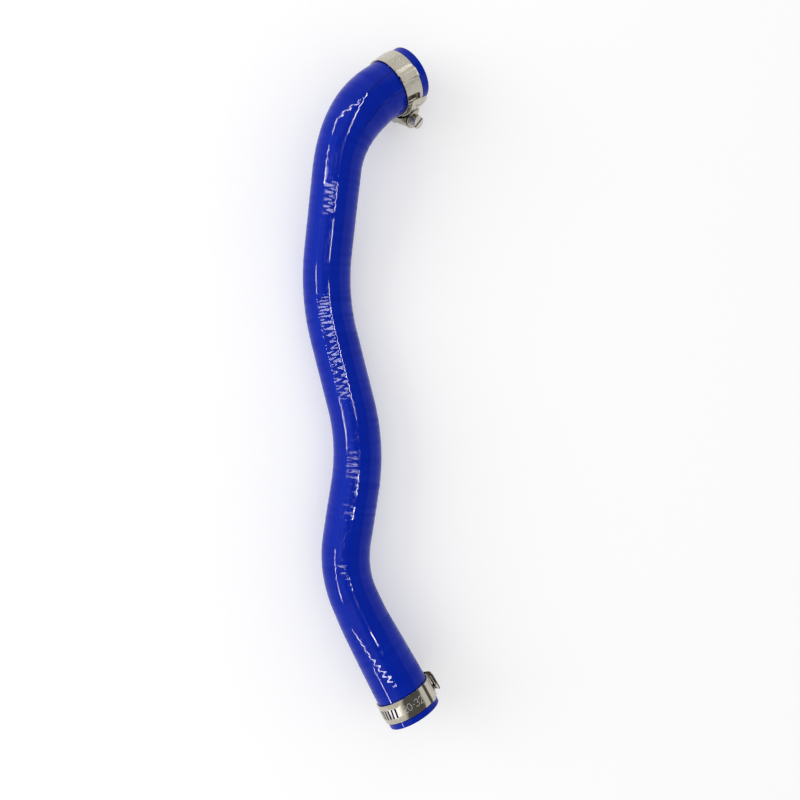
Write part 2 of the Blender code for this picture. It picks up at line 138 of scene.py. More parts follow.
def route_pieces():
    """Legs and bends as (start distance, length, start, heading, inward, radius); a bend of the given
    radius replaces each corner, and starts radius times tan(half the turn) before it."""
    pieces = []
    start, done = ROUTE_CORNERS[0], 0.0
    steps = np.diff(ROUTE_CORNERS, axis=0)
    headings = steps / np.linalg.norm(steps, axis=1)[:, None]
    for number, radius in enumerate(BEND_RADII):
        arriving, leaving = headings[number], headings[number + 1]
        turn = math.acos(arriving @ leaving)
        reach = radius * math.tan(turn / 2)
        bend_start = ROUTE_CORNERS[number + 1] - arriving * reach
        leg = np.linalg.norm(bend_start - start)
        inward = leaving - arriving * (arriving @ leaving)
        inward /= np.linalg.norm(inward)
        pieces.append((done, leg, start, arriving, inward, np.inf))
        pieces.append((done + leg, radius * turn, bend_start, arriving, inward, radius))
        done += leg + radius * turn
        start = ROUTE_CORNERS[number + 1] + leaving * reach
    last_leg = np.linalg.norm(ROUTE_CORNERS[-1] - start)
    pieces.append((done, last_leg, start, headings[-1], headings[-1], np.inf))
    return pieces


ROUTE = route_pieces()
HOSE_LENGTH = ROUTE[-1][0] + ROUTE[-1][1]


def route_frames(stops):
    """Centre, side, upward and along at each distance: a leg runs straight on, and a bend moves by
    radius times sin of the angle ahead and radius times (1 - cos) inward."""
    stops = np.asarray(stops, float)
    centre = np.zeros((len(stops), 3))
    along = np.zeros((len(stops), 3))
    for first, length, start, heading, inward, radius in ROUTE:
        here = stops >= first if first > 0 else np.full(len(stops), True)
        run = (stops[here] - first)[:, None]
        if np.isinf(radius):
            centre[here] = start + run * heading
            along[here] = heading
        else:
            angle = run / radius
            centre[here] = start + radius * (np.sin(angle) * heading + (1.0 - np.cos(angle)) * inward)
            along[here] = np.cos(angle) * heading + np.sin(angle) * inward
    side = np.cross(along, (0.0, 0.0, 1.0))
    side /= np.linalg.norm(side, axis=1)[:, None]
    return centre, side, np.cross(side, along), along


def smooth_step(amount):
    """3 t squared minus 2 t cubed, with t held between 0 and 1."""
    amount = np.clip(amount, 0.0, 1.0)
    return amount * amount * (3.0 - 2.0 * amount)


def eased(values, low, high):
    """0 at low and 1 at high, whichever is the greater, with a smooth step between them."""
    return smooth_step((values - low) / (high - low))


def tube_radius(stops):
    """Outer radius: eased from the wide ends to the middle, which swells a little at one leg."""
    upper = eased(stops, UPPER_SLEEVE_LENGTH + UPPER_TAPER_LENGTH, UPPER_SLEEVE_LENGTH)
    lower = eased(HOSE_LENGTH - stops, LOWER_SLEEVE_LENGTH + LOWER_TAPER_LENGTH, LOWER_SLEEVE_LENGTH)
    swell_place = ROUTE[2 * SWELL_LEG][0] + ROUTE[2 * SWELL_LEG][1] / 2
    swell = smooth_step(1.0 - np.abs(stops - swell_place) / SWELL_REACH)
    middle = MIDDLE_DIAMETER + (SWELL_DIAMETER - MIDDLE_DIAMETER) * swell
    return (middle + (END_DIAMETER - middle) * np.maximum(upper, lower)) / 2


def window(values, low, high, edge):
    """1 between two limits, which may change from ring to ring, eased to 0 over the edge beyond them."""
    return smooth_step((values - low + edge) / edge) * smooth_step((high - values + edge) / edge)


def lean_of(angles):
    """Angle from straight up, less than nothing towards the left."""
    return (angles - math.pi / 2 + math.pi) % math.tau - math.pi


def lane_edge(stops, table):
    """A lane's edge as a lean at each distance, straight between the table's (distance, degrees)."""
    places, leans = np.array(table).T
    return np.radians(np.interp(stops, places, leans))


def wrap_ridges(stops, angles):
    """Height of the tape's ridges: sines of 2 pi times stop over pitch plus turns times angle, with a
    wandering phase, mixed by slow waves. They are full in the wrinkled patches of the top lane, less on
    the flanks, faint elsewhere, and absent under the clamps, where the ends are smooth."""
    draw = np.random.default_rng(7)
    stop, angle = np.meshgrid(stops, angles, indexing="ij")
    height = np.zeros(stop.shape)
    for pitch, turns, size in RIDGE_WAVES:
        wander = np.sin(stop * draw.uniform(50.0, 110.0) + angle + draw.uniform(0.0, math.tau))
        share = np.sin(stop * draw.uniform(120.0, 230.0) + 2 * angle + draw.uniform(0.0, math.tau))
        share = 0.5 + 0.5 * share if turns else 0.9 + 0.1 * share
        phase = math.tau * stop / pitch + turns * angle + RIDGE_WANDER * wander
        height += size * share * np.sin(phase)
    patches = np.zeros(stop.shape)
    for first, last, size in RIDGE_PATCHES:
        patches = np.maximum(patches, size * window(stop, first, last, PATCH_EDGE))
    lean = lean_of(angle)
    lane = window(lean, lane_edge(stop, LEFT_LANE_EDGE), lane_edge(stop, RIGHT_LANE_EDGE), LANE_SIDE)
    flank = FLANK_RIDGES * eased(np.abs(lean), *FLANK_LEANS)
    patches = np.maximum(PLAIN_RIDGES, patches * np.maximum(lane, flank))
    past_bands = eased(stop, *UPPER_SMOOTH_END) * eased(HOSE_LENGTH - stop, *LOWER_SMOOTH_END)
    return RIDGE_HEIGHT * height * patches * past_bands


def grid_faces(rows, columns):
    """Quads of a grid that closes on itself round the columns and, end to start, along the rows."""
    row, column = np.meshgrid(np.arange(rows), np.arange(columns), indexing="ij")
    after, beside = (row + 1) % rows, (column + 1) % columns
    quads = np.stack((row * columns + column, row * columns + beside,
                      after * columns + beside, after * columns + column), axis=-1)
    return quads.reshape(-1, 4)


def lay_matrix():
    """The mould's plan rolled and pitched into the lie of the frame, whose upper screw fixes its place."""
    turned = Matrix.Rotation(LAY_PITCH, 4, "X") @ Matrix.Rotation(LAY_ROLL, 4, "Y")
    joint = next(joint for joint in frame["joints"] if joint["name"] == "upper_screw_turn")
    upper_clamp = clamp_axes(UPPER_CLAMP_PLACE, UPPER_HOUSING_CLOCK)
    screw = turned @ upper_clamp @ Vector((SCREW_RADIUS_FROM_HOSE, 0, 0))
    return Matrix.Translation(Vector(joint["pos_m"]) - screw) @ turned


def clamp_axes(distance, clock):
    """Axes of a clamp in the plan: X out through its housing, Y to its screw head, Z along the hose."""
    centre, side, upward, along = (Vector(part[0]) for part in route_frames([distance]))
    outward = upward * math.cos(clock) - side * math.sin(clock)
    axes = Matrix((outward, along.cross(outward), along)).transposed().to_4x4()
    axes.translation = centre
    return axes


# The hose's place in the frame follows from its upper screw, so the clamps' places come here.

CLEARANCE = 0.0003
BAND_WIDTH = 0.0100
BAND_THICKNESS = 0.0005
SADDLE_THICKNESS = 0.0005
WORM_DIAMETER = 0.0060
UPPER_CLAMP_PLACE = 0.0050 + BAND_WIDTH / 2
LOWER_MARGIN = 0.0036
LOWER_CLAMP_PLACE = HOSE_LENGTH - LOWER_MARGIN - BAND_WIDTH / 2
UPPER_HOUSING_CLOCK = math.radians(138.0)
LOWER_HOUSING_CLOCK = math.radians(179.0)
CLAMP_BORE_RADIUS = END_DIAMETER / 2 + CLEARANCE
LAP_RISE = SADDLE_THICKNESS + CLEARANCE
BAND_LAP_RADIUS = CLAMP_BORE_RADIUS + LAP_RISE + BAND_THICKNESS
SCREW_RADIUS_FROM_HOSE = BAND_LAP_RADIUS + CLEARANCE + WORM_DIAMETER / 2

LAY = lay_matrix()


def add_piece(name, points, quads, matrix, smooth_angle=32.0):
    """Put a mesh into the scene with its place in its points, smooth but for its sharp edges."""
    mesh = bpy.data.meshes.new(name)
    mesh.from_pydata(np.asarray(points, float).reshape(-1, 3), [], quads)
    mesh.transform(matrix)
    mesh.shade_smooth()
    mesh.set_sharp_from_angle(angle=math.radians(smooth_angle))
    piece = bpy.data.objects.new(name, mesh)
    bpy.context.scene.collection.objects.link(piece)
    return piece


def add_uv(piece, values):
    """Give each corner the (u, v) pair of its vertex."""
    mesh = piece.data
    corners = np.zeros(len(mesh.loops), np.int32)
    mesh.loops.foreach_get("vertex_index", corners)
    layer = mesh.uv_layers.new(name="surface")
    layer.data.foreach_set("uv", np.asarray(values, np.float32).reshape(-1, 2)[corners].ravel())


def add_value(piece, name, values):
    """Give each vertex a number that a material can read."""
    attribute = piece.data.attributes.new(name, "FLOAT", "POINT")
    attribute.data.foreach_set("value", np.asarray(values, np.float32).ravel())


def hose_skin():
    """Rings down the outside, round the lower rim, back up the bore and round the upper rim. Each ring
    is its centre plus radius times (cos of the angle sideways plus sin of the angle upward)."""
    angles = np.arange(SKIN_SIDES) * math.tau / SKIN_SIDES
    outside = np.linspace(RIM_ROUND, HOSE_LENGTH - RIM_ROUND, round(HOSE_LENGTH / SKIN_RING_SPACING))
    inside = np.linspace(HOSE_LENGTH - RIM_ROUND, RIM_ROUND, round(HOSE_LENGTH / BORE_RING_SPACING))
    curl = np.linspace(0.0, math.pi / 2, RIM_STEPS)
    fall, run = RIM_ROUND * (1.0 - np.cos(curl)), RIM_ROUND * np.sin(curl)
    face = np.linspace(RIM_ROUND, WALL - RIM_ROUND, FACE_STEPS)
    end_radius = tube_radius(np.array([0.0]))[0]

    rim_fall = np.concatenate((fall[1:], face[1:], WALL - fall[::-1][1:]))
    rim_run = np.concatenate((run[1:], np.full(len(face) - 1, RIM_ROUND), run[::-1][1:]))
    lower_stops = HOSE_LENGTH - RIM_ROUND + rim_run
    upper_stops = RIM_ROUND - rim_run[::-1]
    stops = np.concatenate((outside, lower_stops, inside[1:], upper_stops[:-1]))
    depth = np.concatenate((np.zeros(len(outside)), rim_fall, np.full(len(inside) - 1, WALL),
                            rim_fall[::-1][:-1]))
    radii = np.concatenate((tube_radius(outside), np.full(len(rim_fall), end_radius),
                            tube_radius(inside[1:]), np.full(len(rim_fall) - 1, end_radius))) - depth
    spread = np.repeat(radii[:, None], SKIN_SIDES, axis=1)
    spread[:len(outside)] += wrap_ridges(outside, angles)
    centre, side, upward, _ = route_frames(stops)
    points = (centre[:, None] + spread[..., None] * (np.cos(angles)[None, :, None] * side[:, None]
                                                     + np.sin(angles)[None, :, None] * upward[:, None]))
    piece = add_piece("hose_skin", points, grid_faces(len(stops), SKIN_SIDES)[:, ::-1], LAY, 40.0)
    along, round_it = (stops - depth)[:, None], angles[None, :] * MIDDLE_DIAMETER / 2
    add_uv(piece, np.stack(np.broadcast_arrays(along, round_it), axis=-1))
    add_value(piece, "wall_depth", np.repeat(depth / WALL, SKIN_SIDES))
    gloss = skin_gloss(stops, angles)
    add_value(piece, "gloss", gloss)
    # Painted sheen: a paler, greyer blue where the gloss has faded on the left flank, standing for the light
    # those dull patches catch.
    add_value(piece, "left_sheen", (1.0 - gloss) * eased(-lean_of(angles), *SHEEN_LEANS))
    # Painted shade: a dark line on the skin just beside each band's edges.
    from_ends = np.minimum(stops, HOSE_LENGTH - stops + UPPER_CLAMP_PLACE - BAND_WIDTH / 2 - LOWER_MARGIN)
    band_edge_shade = sum(window(from_ends, first, last, BAND_SHADE_EASE) for first, last in SHADED_BAND_EDGES)
    add_value(piece, "band_edge_shade", np.repeat(band_edge_shade * (depth == 0.0), SKIN_SIDES))
    return piece


def skin_gloss(stops, angles):
    """Gloss of the cured skin, 1 where the tape left it smooth, and lower along stretches of the left,
    middle and right lanes of its top."""
    lean, stop = lean_of(angles)[None, :], stops[:, None]
    left, right = lane_edge(stop, LEFT_LANE_EDGE), lane_edge(stop, RIGHT_LANE_EDGE)
    faded = [sum(window(stop, first, last, FADED_EDGE) for first, last in stretches)
             for stretches in (FADED_LEFT, FADED_MIDDLE, FADED_RIGHT)]
    lane = np.where(lean < left, faded[0], np.where(lean < right, faded[1], faded[2]))
    return 1.0 - lane * window(lean, *LANE_LIMITS, FADED_SIDE)


def add_node(tree, kind, inputs=(), **settings):
    """Add a shader node. An input given as a socket is linked, and a plain value is set."""
    node = tree.nodes.new("ShaderNode" + kind)
    for name, value in settings.items():
        setattr(node, name, value)
    for name, value in dict(inputs).items():
        if isinstance(value, bpy.types.NodeSocket):
            tree.links.new(value, node.inputs[name])
        else:
            node.inputs[name].default_value = value
    return node


def new_material(name, **sockets):
    """A material, its node tree and its Principled shader, with the given sockets set."""
    material = bpy.data.materials.new(name)
    material.use_nodes = True
    shader = material.node_tree.nodes["Principled BSDF"]
    for socket, value in sockets.items():
        shader.inputs[socket.replace("_", " ")].default_value = value
    return material, material.node_tree, shader


def feed(tree, shader, **sources):
    """Link sockets into the shader's inputs."""
    for socket, source in sources.items():
        tree.links.new(source, shader.inputs[socket.replace("_", " ")])


def in_millimetres(tree, vector, stretch=(1.0, 1.0, 1.0)):
    """The vector in millimetres, with each axis then divided by its stretch."""
    scale = tuple(1000.0 / part for part in stretch)
    return add_node(tree, "Mapping", {"Vector": vector, "Scale": scale}).outputs["Vector"]


def calc(tree, operation, *values, clamp=False):
    """The result of a Math node."""
    return add_node(tree, "Math", dict(enumerate(values)), operation=operation, use_clamp=clamp).outputs[0]


def ramp(tree, value, low, high, at_low=0.0, at_high=1.0, easing="LINEAR"):
    """The value carried from the stretch between low and high to that between at_low and at_high."""
    limits = {"Value": value, "From Min": low, "From Max": high, "To Min": at_low, "To Max": at_high}
    return add_node(tree, "MapRange", limits, interpolation_type=easing).outputs[0]


def tint(tree, amount, plain, full):
    """The colour between plain, at an amount of 0, and full, at 1."""
    return add_node(tree, "Mix", {0: amount, 6: plain, 7: full}, data_type="RGBA").outputs[2]


def noise(tree, vector, scale, detail, roughness=0.5):
    """Cloudy values between 0 and 1."""
    inputs = {"Vector": vector, "Scale": scale, "Detail": detail, "Roughness": roughness}
    return add_node(tree, "TexNoise", inputs).outputs["Fac"]


def stored(tree, name):
    """The number that add_value gave each vertex under this name, or 0."""
    return add_node(tree, "Attribute", attribute_name=name, attribute_type="GEOMETRY").outputs["Fac"]


def dark_skin_line(tree, surface, first, last, place, slope, wander):
    """Mask of a fine dark line along the hose, used for the painted dark reflection lines and for a short
    dark mark: 1 where the distance round the hose from the line place + slope times run + a wandering noise
    is under its half width, from first to last."""
    parts = add_node(tree, "SeparateXYZ", {0: surface}).outputs
    run = calc(tree, "SUBTRACT", parts["X"], first)
    straight = calc(tree, "MULTIPLY_ADD", run, slope, place)
    sway = add_node(tree, "TexNoise", {"W": run, "Scale": DARK_LINE_SWAYS, "Detail": 1.0}, noise_dimensions="1D")
    shifted = calc(tree, "SUBTRACT", sway.outputs["Fac"], 0.5)
    line = calc(tree, "MULTIPLY_ADD", shifted, wander, straight)
    off = calc(tree, "ABSOLUTE", calc(tree, "SUBTRACT", parts["Y"], line))
    near = ramp(tree, off, DARK_LINE_HALF_WIDTH, DARK_LINE_HALF_WIDTH * 2.0, 1.0, 0.0)
    begun = calc(tree, "GREATER_THAN", parts["X"], first)
    going = calc(tree, "LESS_THAN", parts["X"], last)
    return calc(tree, "MULTIPLY", near, calc(tree, "MULTIPLY", begun, going))


def silicone():
    """Glossy blue rubber: cloudy colour, a painted paler sheen on the left flank where the gloss has faded,
    painted shade beside the bands, painted dark reflection lines near the upper end and a short dark mark,
    fine threads across the hose and ply lines in its cut ends."""
    material, tree, shader = new_material("moulded_blue_silicone", Specular_IOR_Level=0.0,
                                          Coat_IOR=SKIN_IOR, Coat_Roughness=SKIN_ROUGHNESS)
    surface = add_node(tree, "UVMap", uv_map="surface").outputs["UV"]
    place = add_node(tree, "TexCoord").outputs["Object"]
    threads = noise(tree, in_millimetres(tree, surface, THREAD_SIZE), 1.0, detail=3.0, roughness=0.6)
    wraps = noise(tree, in_millimetres(tree, surface, WRAP_SIZE), 1.0, detail=1.0)
    clouds = noise(tree, in_millimetres(tree, place, CLOUD_SIZE), 1.0, detail=2.0)
    blue = tint(tree, ramp(tree, calc(tree, "MULTIPLY", clouds, wraps), 0.10, 0.42), DEEP_BLUE, BLUE)
    # Painted sheen on the dull patches of the left flank.
    blue = tint(tree, stored(tree, "left_sheen"), blue, PAINTED_SHEEN_BLUE)
    # Painted shade: a dark line on the skin beside each band's edges.
    dark = stored(tree, "band_edge_shade")
    # The painted dark reflection lines near the upper end, and a short dark mark, darken the blue as well.
    for dark_line in REFLECTION_LINES_AND_MARK:
        dark = calc(tree, "MAXIMUM", dark, dark_skin_line(tree, surface, *dark_line))
    blue = tint(tree, dark, blue, SHADE_AND_REFLECTION_BLUE)
    ply_wave = calc(tree, "MULTIPLY", stored(tree, "wall_depth"), math.tau * PLY_COUNT)
    ply_line = ramp(tree, calc(tree, "SINE", ply_wave), 0.55, 0.95)
    patchy = ramp(tree, wraps, 0.25, 0.55, 0.55, 1.0)
    gloss = ramp(tree, stored(tree, "gloss"), 0.0, 1.0, FADED_GLOSS, patchy)
    coat = calc(tree, "MULTIPLY", gloss, calc(tree, "SUBTRACT", 1.0, ply_line))
    bump = add_node(tree, "Bump", {"Height": threads, "Strength": 0.35, "Distance": THREAD_HEIGHT})
    feed(tree, shader, Base_Color=tint(tree, ply_line, blue, PLY_GREY_BLUE),
         Roughness=ramp(tree, threads, 0.3, 0.7, 0.32, 0.45), Coat_Weight=coat, Normal=bump.outputs["Normal"])
    return material


hose = hose_skin()
hose.data.materials.append(silicone())
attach(hose, "hose")
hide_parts("hose")


# Each saddle is a curved plate of stainless strip that carries the screw housing. Its tongue reaches
# on round the hose under the band's fixed end, which is pressed into it.

BAND_START_ANGLE = math.radians(111.0)
SADDLE_LAP = 0.0032
HOUSING_LENGTH = 0.0120
HOUSING_WALL = 0.0009
HOUSING_HALF_WIDTH = BAND_WIDTH / 2 + CLEARANCE + HOUSING_WALL
HOUSING_HALF_ANGLE = math.atan2(HOUSING_LENGTH / 2, BAND_LAP_RADIUS)
SADDLE_HALF_ANGLE = HOUSING_HALF_ANGLE + SADDLE_LAP / 2 / CLAMP_BORE_RADIUS
CORNER_ROUND = 0.0010
SHOULDER_RUN = 0.0008
SADDLE_STEPS = 120
SADDLE_ROWS = 9
SADDLE_EDGE = 0.00010
EDGE_SEGMENTS = 2
WARM_STEEL = (0.540, 0.505, 0.420, 1.0)
SATIN_STEEL = (0.520, 0.490, 0.415, 1.0)
DARK_FILM = (0.140, 0.130, 0.110, 1.0)
FILM_SHARE = 0.26

CLAMPS = {
    "upper": LAY @ clamp_axes(UPPER_CLAMP_PLACE, UPPER_HOUSING_CLOCK),
    "lower": LAY @ clamp_axes(LOWER_CLAMP_PLACE, LOWER_HOUSING_CLOCK),
}
clamp_pieces = {end: [] for end in CLAMPS}


def strip_solid(inner, outer, filled):
    """Points and quads of a closed sheet between two grids of points, and which of these points it
    uses. A quad joins four neighbours on each grid where the table is filled, and walls close every
    edge between filled and empty."""
    columns, rows = filled.shape
    stride = rows + 1
    offset = (columns + 1) * stride
    column, row = np.nonzero(filled)
    low = column * stride + row
    top = np.stack((low, low + stride, low + stride + 1, low + 1), axis=-1)
    padded = np.pad(filled, 1)
    quads = [top[:, ::-1], top + offset]
    for edge, (step_column, step_row) in enumerate(((0, -1), (1, 0), (0, 1), (-1, 0))):
        open_side = ~padded[column + 1 + step_column, row + 1 + step_row]
        first, second = top[open_side, edge], top[open_side, (edge + 1) % 4]
        quads.append(np.stack((first, second, second + offset, first + offset), axis=-1))
    quads = np.concatenate(quads)
    used, quads = np.unique(quads, return_inverse=True)
    points = np.concatenate((inner.reshape(-1, 3), outer.reshape(-1, 3)))
    return points[used], quads.reshape(-1, 4), used


def round_clamp(angles, radii, across):
    """Points at each angle and radius from the clamp's axis, and so far across the strip."""
    return np.stack((radii * np.cos(angles), radii * np.sin(angles), across), axis=-1)


def add_strip(name, angles, radii, across, thickness, filled, matrix, cut_end_shade):
    """A strip wrapped round the clamp's axis, with its arc length and width as its UV map, and a value that
    is 1 at its cut start, where the edge is painted dark as the shade of the step there."""
    inner = round_clamp(angles, radii, across)
    outer = round_clamp(angles, radii + thickness, across)
    points, quads, used = strip_solid(inner, outer, filled)
    piece = add_piece(name, points, quads, matrix)
    flat = np.stack((angles * CLAMP_BORE_RADIUS, across), axis=-1).reshape(-1, 2)
    add_uv(piece, np.concatenate((flat, flat))[used])
    dark = np.broadcast_to(cut_end_shade, angles.shape).ravel()
    add_value(piece, "cut_end_shade", np.concatenate((dark, dark))[used])
    return piece


def round_edges(piece, width):
    """Break the sharp edges of a pressed piece."""
    bevel = piece.modifiers.new("broken_edges", "BEVEL")
    bevel.width = width
    bevel.segments = EDGE_SEGMENTS
    bevel.limit_method = "ANGLE"
    bevel.angle_limit = math.radians(40.0)


def build_saddle(name, matrix):
    """Plate of full width under the housing, narrowed by an eased shoulder to the band's width."""
    start, end = -SADDLE_HALF_ANGLE, BAND_START_ANGLE + SADDLE_LAP / CLAMP_BORE_RADIUS
    angles = np.linspace(start, end, SADDLE_STEPS)
    from_end = np.minimum(angles - start, end - angles) * CLAMP_BORE_RADIUS
    corner = np.clip(1.0 - from_end / CORNER_ROUND, 0.0, 1.0)
    narrowing = smooth_step((np.abs(angles) - HOUSING_HALF_ANGLE) * CLAMP_BORE_RADIUS / SHOULDER_RUN)
    half_width = HOUSING_HALF_WIDTH + (BAND_WIDTH / 2 - HOUSING_HALF_WIDTH) * narrowing
    half_width -= CORNER_ROUND * (1.0 - np.sqrt(1.0 - corner ** 2))
    across = half_width[:, None] * np.linspace(-1.0, 1.0, SADDLE_ROWS)
    spread = np.repeat(angles[:, None], SADDLE_ROWS, axis=1)
    filled = np.ones((SADDLE_STEPS - 1, SADDLE_ROWS - 1), bool)
    radii = np.full(spread.shape, CLAMP_BORE_RADIUS)
    return add_strip(name, spread, radii, across, SADDLE_THICKNESS, filled, matrix, False)


def steel_grain():
    """Node group: rolled lines along a strip, fine dents, and a dark film in patches and specks."""
    group = bpy.data.node_groups.new("steel_grain", "ShaderNodeTree")
    group.interface.new_socket(name="Surface", in_out="INPUT", socket_type="NodeSocketVector")
    for name in ("Line Width", "Line Length", "Smooth", "Dull"):
        group.interface.new_socket(name=name, in_out="INPUT", socket_type="NodeSocketFloat")
    for name in ("Film", "Roughness", "Height"):
        group.interface.new_socket(name=name, in_out="OUTPUT", socket_type="NodeSocketFloat")
    given = group.nodes.new("NodeGroupInput").outputs
    result = group.nodes.new("NodeGroupOutput").inputs
    flat = in_millimetres(group, given["Surface"])
    parts = add_node(group, "SeparateXYZ", {0: flat}).outputs
    run = calc(group, "DIVIDE", parts["X"], given["Line Length"])
    rise = calc(group, "DIVIDE", parts["Y"], given["Line Width"])
    stretched = add_node(group, "CombineXYZ", {0: run, 1: rise, 2: parts["Z"]})
    lines = noise(group, stretched.outputs[0], 1.0, 3.0)
    patches = ramp(group, noise(group, flat, 0.22, 3.0), 0.52, 0.75)
    specks = ramp(group, noise(group, flat, 2.1, 2.0), 0.54, 0.64)
    group.links.new(calc(group, "MAXIMUM", patches, specks), result["Film"])
    group.links.new(ramp(group, lines, 0.35, 0.65, given["Smooth"], given["Dull"]), result["Roughness"])
    group.links.new(lines, result["Height"])
    return group


STEEL_GRAIN = steel_grain()


def steel(name, colour, line_width, line_length, smooth, dull, bump_height, on_strip):
    """Stainless steel with the shared grain, read from the strip's UV map or the piece's own place."""
    material, tree, shader = new_material(name, Metallic=1.0)
    if on_strip:
        surface = add_node(tree, "UVMap", uv_map="surface").outputs["UV"]
    else:
        surface = add_node(tree, "TexCoord").outputs["Object"]
    grain = add_node(tree, "Group", {"Surface": surface, "Line Width": line_width, "Line Length": line_length,
                                     "Smooth": smooth, "Dull": dull}, node_tree=STEEL_GRAIN).outputs
    film = calc(tree, "MULTIPLY", grain["Film"], FILM_SHARE)
    # Painted shade at a band's cut start edge darkens the steel along with the dark film.
    dark = calc(tree, "ADD", film, stored(tree, "cut_end_shade"), clamp=True)
    bump = add_node(tree, "Bump", {"Height": grain["Height"], "Strength": 0.4, "Distance": bump_height})
    feed(tree, shader, Base_Color=tint(tree, dark, colour, DARK_FILM), Roughness=grain["Roughness"],
         Normal=bump.outputs["Normal"])
    return material


saddle_steel = steel("saddle_strip_steel", SATIN_STEEL, line_width=0.10, line_length=7.0, smooth=0.14,
                     dull=0.24, bump_height=0.000004, on_strip=True)
for end, matrix in CLAMPS.items():
    saddle = build_saddle(end + "_saddle_plate", matrix)
    round_edges(saddle, SADDLE_EDGE)
    saddle.data.materials.append(saddle_steel)
    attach(saddle, "hose")
    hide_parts(end + "_clamp_saddle")
    clamp_pieces[end].append(saddle)


# Each band is a strip of bright stainless steel with a row of slanted slots punched right through it
# for the worm. It starts on the saddle's tongue, steps down onto the hose, goes once round it, passes
# under the screw and stands off as a loose tail.

SLOT_LENGTH = 0.0052
SLOT_WIDTH = 0.0011
SLOT_PITCH = 0.0024
SLOT_COUNT = 26
SLOT_SLANT = math.radians(10.0)
SLOT_STEPS = 8
BAR_STEPS = 3
TAIL_LENGTH_PAST_HOUSING = 0.0149
TAIL_STAND_OFF = 0.0022
TAIL_PLAIN_END = 0.0016
TAIL_CORNER = 0.0014
TAIL_CORNER_STEPS = 9
BAND_STEP_ANGLE = math.radians(13.0)
BAND_JOGGLE_ANGLE = math.radians(6.0)
PLAIN_STEP_ANGLE = math.radians(1.6)
BAND_EDGE_CURL = 0.00012
CURLED_SHARE = 0.80
CURL_MIDDLE = 0.93
BAND_EDGE = 0.00006
TAIL_END_ANGLE = math.tau + HOUSING_HALF_ANGLE + TAIL_LENGTH_PAST_HOUSING / BAND_LAP_RADIUS


def band_radius(angle):
    """Inner radius: eased down off the tongue, up on the saddle, and out along the tail."""
    tongue_end = BAND_START_ANGLE + SADDLE_LAP / CLAMP_BORE_RADIUS
    off_tongue = smooth_step((angle - tongue_end) / BAND_JOGGLE_ANGLE)
    on_saddle = smooth_step((angle - (math.tau - SADDLE_HALF_ANGLE - BAND_STEP_ANGLE)) / BAND_STEP_ANGLE)
    tail_start = math.tau + HOUSING_HALF_ANGLE
    tail = smooth_step((angle - tail_start) / (TAIL_END_ANGLE - tail_start))
    return CLAMP_BORE_RADIUS + LAP_RISE * np.maximum(1.0 - off_tongue, on_saddle) + TAIL_STAND_OFF * tail


def build_band(name, matrix):
    """Grid of angles and places across the strip. In a slot's columns the four middle rows are shares of
    its half length there: half length less radius, plus radius times the root of 1 - run squared,
    with the run from the slot's middle as a share of the radius."""
    pitch = SLOT_PITCH / BAND_LAP_RADIUS
    half_slot = SLOT_WIDTH / 2 / BAND_LAP_RADIUS
    last_slot = TAIL_END_ANGLE - TAIL_PLAIN_END / BAND_LAP_RADIUS
    first_slot = last_slot - SLOT_COUNT * pitch
    plain = np.linspace(BAND_START_ANGLE, first_slot - pitch / 2,
                        math.ceil((first_slot - BAND_START_ANGLE) / PLAIN_STEP_ANGLE))
    middles = first_slot + half_slot + np.arange(SLOT_COUNT) * pitch
    turn = np.linspace(-1.0, 1.0, SLOT_STEPS + 1)
    bar = np.linspace(0.0, 1.0, BAR_STEPS + 1)[1:-1]
    in_slot = middles[:, None] + half_slot * turn
    on_bar = middles[:, None] + half_slot + (pitch - 2 * half_slot) * bar
    slotted = np.concatenate((in_slot, on_bar), axis=1).ravel()
    corner = TAIL_CORNER / BAND_LAP_RADIUS
    round_corner = np.sin(np.linspace(0.0, math.pi / 2, TAIL_CORNER_STEPS))
    tip = TAIL_END_ANGLE - corner * (1.0 - round_corner)
    edges = np.concatenate((plain, slotted[slotted < TAIL_END_ANGLE - corner], tip))

    from_middle = edges[:, None] - middles
    nearest = np.abs(from_middle).argmin(axis=1)
    run = from_middle[np.arange(len(edges)), nearest] / half_slot
    radius = SLOT_WIDTH / 2
    slot_end = SLOT_LENGTH / 2 - radius + radius * np.sqrt(np.clip(1.0 - run ** 2, 0.0, 1.0))
    half = BAND_WIDTH / 2
    from_tip = np.clip((TAIL_END_ANGLE - edges) * BAND_LAP_RADIUS / TAIL_CORNER, 0.0, 1.0)
    half_width = half - TAIL_CORNER * (1.0 - np.sqrt(1.0 - (1.0 - from_tip) ** 2))
    outer_rows = half_width[:, None] * np.array((-1.0, -CURL_MIDDLE, -CURLED_SHARE))
    inner_rows = slot_end[:, None] * np.array((-1.0, -1.0 / 3, 1.0 / 3, 1.0))
    across = np.concatenate((outer_rows, inner_rows, -outer_rows[:, ::-1]), axis=1)
    rows = across.shape[1] - 1
    filled = np.ones((len(edges) - 1, rows), bool)
    middle_of_cell = (edges[1:] + edges[:-1]) / 2
    cell_run = np.abs(middle_of_cell[:, None] - middles).min(axis=1)
    filled[np.ix_(cell_run < half_slot, range(3, 6))] = False

    slanted = (edges == edges[0]) | (edges > first_slot - half_slot)
    angles = edges[:, None] + slanted[:, None] * across * math.tan(SLOT_SLANT) / BAND_LAP_RADIUS
    curl = BAND_EDGE_CURL * eased(np.abs(across) / half_width[:, None], CURLED_SHARE, 1.0)
    # Painted shade: the band's cut start edge is painted dark.
    cut_end_shade = (edges < BAND_START_ANGLE + PLAIN_STEP_ANGLE / 2)[:, None] & (np.abs(across) < half)
    radii = band_radius(angles) - curl
    return add_strip(name, angles, radii, across, BAND_THICKNESS, filled, matrix, cut_end_shade)


